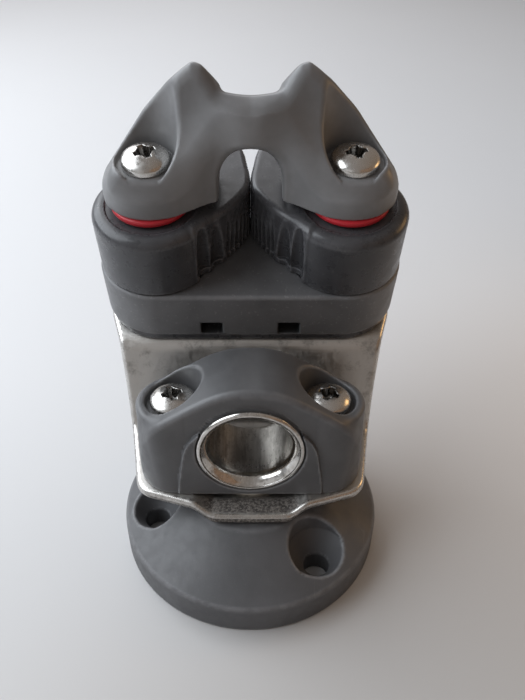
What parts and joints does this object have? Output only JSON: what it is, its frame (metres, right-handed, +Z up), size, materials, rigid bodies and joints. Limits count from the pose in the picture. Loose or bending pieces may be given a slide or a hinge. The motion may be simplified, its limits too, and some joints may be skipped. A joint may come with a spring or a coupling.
{
  "type": "cam cleat",
  "caption": "Swivelling cam cleat: a disc base carries a bent steel arm with a lined fairlead, sprung toothed cams on a raised plinth and a horned bridge fairlead.",
  "frame": {"origin": "swivel axis on the underside of the base disc", "axes": "+Z up along the swivel axis, -Y towards the loaded side that the lined fairlead faces, +X to the right seen from there"},
  "size_m": [0.0622, 0.0709, 0.0945],
  "materials": {
    "moulded_grey": "fine moulded grain, dark grey",
    "cam_black": "satin moulded, near black",
    "red_plastic": "smooth red moulded",
    "white_plastic": "natural acetal",
    "lock_plastic": "blue nylon",
    "stainless_sheet": "polished then worn sheet",
    "stainless_polished": "polished turned stainless",
    "stainless_plain": "turned stainless"
  },
  "bodies": {
    "base": {"base_disc": "moulded_grey", "pivot_post": "stainless_plain", "pivot_cap": "stainless_plain", "lower_thrust_washer": "white_plastic"},
    "arm": {"arm_plate": "stainless_sheet", "pivot_bush": "white_plastic", "upper_thrust_washer": "white_plastic", "fairlead_body": "moulded_grey", "fairlead_liner": "stainless_polished", "fairlead_screws": "stainless_polished", "fairlead_press_nuts": "stainless_plain", "riser_pad": "moulded_grey", "cleat_base": "moulded_grey", "cam_post_left": "stainless_plain", "cam_post_right": "stainless_plain", "cap_washer_left": "red_plastic", "cap_washer_right": "red_plastic", "bridge": "moulded_grey", "cleat_screws": "stainless_polished", "cleat_washers": "stainless_plain", "cleat_nuts": "stainless_plain", "nut_lock_rings": "lock_plastic", "spring_left": "stainless_plain", "spring_right": "stainless_plain"},
    "cam_l": {"cam_left": "cam_black", "balls_left": "stainless_polished"},
    "cam_r": {"cam_right": "cam_black", "balls_right": "stainless_polished"}
  },
  "joints": [
    {"name": "arm_swivel", "type": "hinge", "parent": "base", "child": "arm", "pos_m": [0, 0, 0.0148], "axis": [0, 0, 1], "continuous": true},
    {"name": "cam_left_pivot", "type": "hinge", "parent": "arm", "child": "cam_l", "pos_m": [-0.019, 0.02309, 0.0615], "axis": [0, -0.2419, 0.9703], "range_deg": [0, 35], "stiffness_Nm_per_rad": 0.05, "springref_deg": -34.38},
    {"name": "cam_right_pivot", "type": "hinge", "parent": "arm", "child": "cam_r", "pos_m": [0.019, 0.02309, 0.0615], "axis": [0, 0.2419, -0.9703], "range_deg": [0, 35], "stiffness_Nm_per_rad": 0.05, "springref_deg": -34.38}
  ]
}
